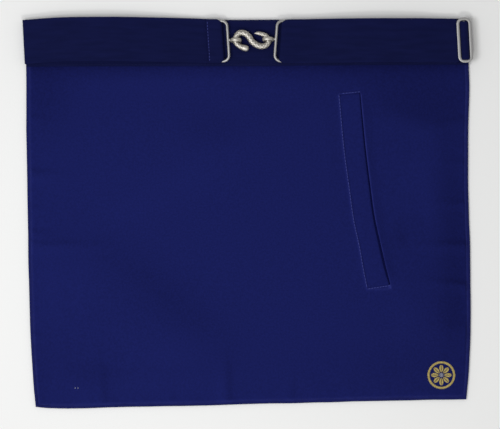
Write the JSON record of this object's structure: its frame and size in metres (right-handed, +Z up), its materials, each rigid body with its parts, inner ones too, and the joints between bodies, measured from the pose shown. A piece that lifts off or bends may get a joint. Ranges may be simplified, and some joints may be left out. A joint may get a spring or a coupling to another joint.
{
  "type": "masonic apron",
  "caption": "Lodge apron lying face down: navy lining with a leaning welt pocket, folded webbing belt, snake hook clasp between wire loops, and a slide.",
  "frame": {"origin": "on the surface under the middle of the apron, as it lies face down", "axes": "+X along the waist towards the slide, +Y from the hem to the waist, +Z up out of the lining"},
  "size_m": [0.4104, 0.3571, 0.0133],
  "materials": {
    "front_cloth": "plain woven navy cloth, matt",
    "lining_cloth": "fine twill lining, navy, soft sheen",
    "webbing": "ribbed navy belt webbing, matt",
    "nickel": "cast and plated, polished with darker hollows",
    "gold_thread": "satin stitched thread"
  },
  "bodies": {
    "root": {"front_panel": "front_cloth", "lining_panel": "lining_cloth", "pocket_welt": "lining_cloth", "waistband": "webbing", "left_strap": "webbing", "right_strap": "webbing", "left_clasp_loop": "nickel", "right_clasp_loop": "nickel", "snake_hook": "nickel", "slide_adjuster": "nickel", "corner_rosette": "gold_thread"}
  },
  "joints": []
}
